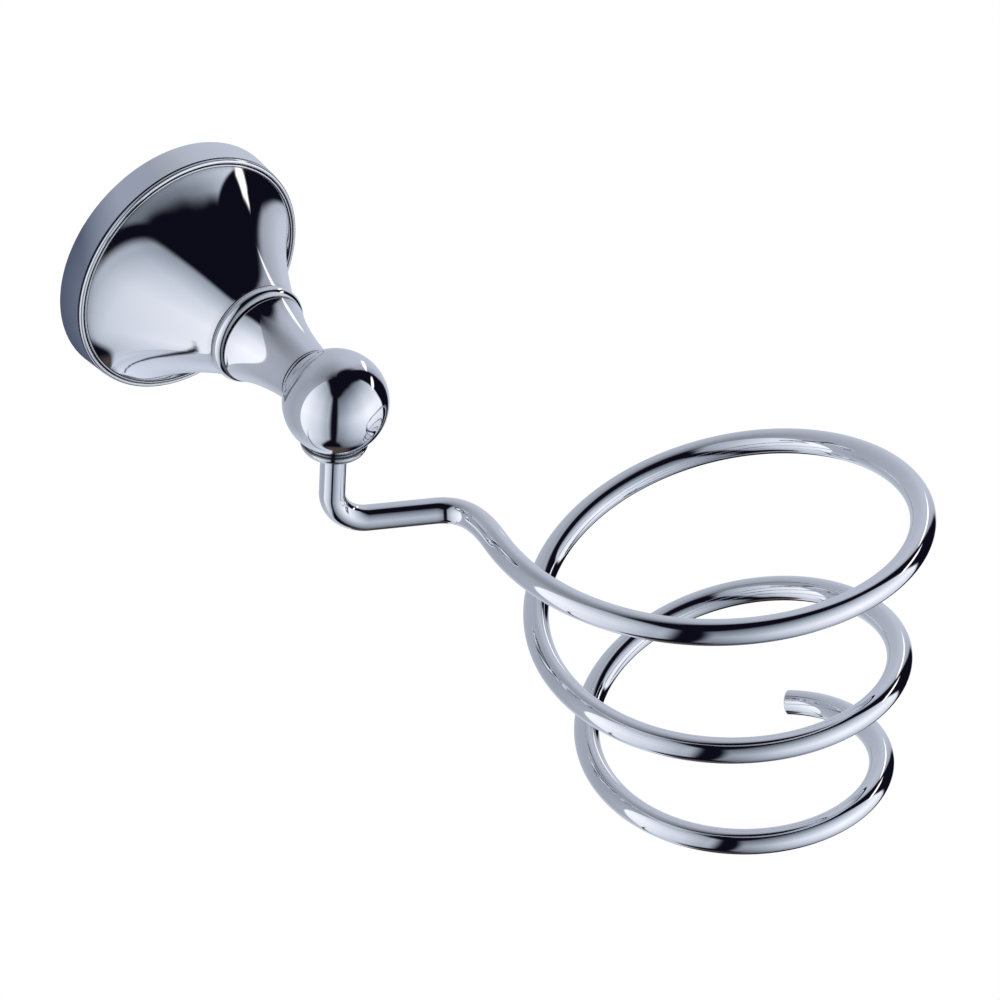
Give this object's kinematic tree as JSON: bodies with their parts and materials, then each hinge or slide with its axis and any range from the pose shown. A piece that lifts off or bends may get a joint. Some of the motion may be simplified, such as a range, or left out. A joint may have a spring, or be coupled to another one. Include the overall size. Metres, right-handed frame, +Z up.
{
  "type": "hair dryer holder",
  "caption": "Wall-mounted hair dryer holder: a bell-shaped chrome base, a neck and a ball, carrying a swivelling arm of bent rod that ends in a tapering spiral.",
  "frame": {"origin": "centre of the base's back face, on the wall plane", "axes": "+Z up, +Y into the wall, so the object stands out towards -Y; +X to the right for someone facing the wall"},
  "size_m": [0.1604, 0.1577, 0.1529],
  "materials": {
    "chrome": "mirror-polished chrome plating",
    "bracket": "bright zinc-plated steel",
    "fastener": "bright zinc-plated steel",
    "spring_steel": "blued spring steel",
    "nylon": "natural nylon"
  },
  "bodies": {
    "base": {"wall_bracket": "bracket", "base_ring": "chrome", "grub_screw": "fastener", "bell_cover": "chrome", "collar_ring": "chrome", "neck": "chrome", "neck_ring": "chrome", "ball": "chrome", "centre_stud": "fastener", "stud_washer": "fastener", "lock_washer": "fastener", "stud_nut": "fastener", "socket_ferrule": "chrome", "friction_washer": "nylon"},
    "arm": {"spiral_arm": "chrome", "retaining_ring": "spring_steel", "disc_spring": "spring_steel"}
  },
  "joints": [
    {"name": "arm_swivel", "type": "hinge", "parent": "base", "child": "arm", "pos_m": [0, -0.065, 0], "axis": [0, 0, 1], "range_deg": [-155, 32]}
  ]
}
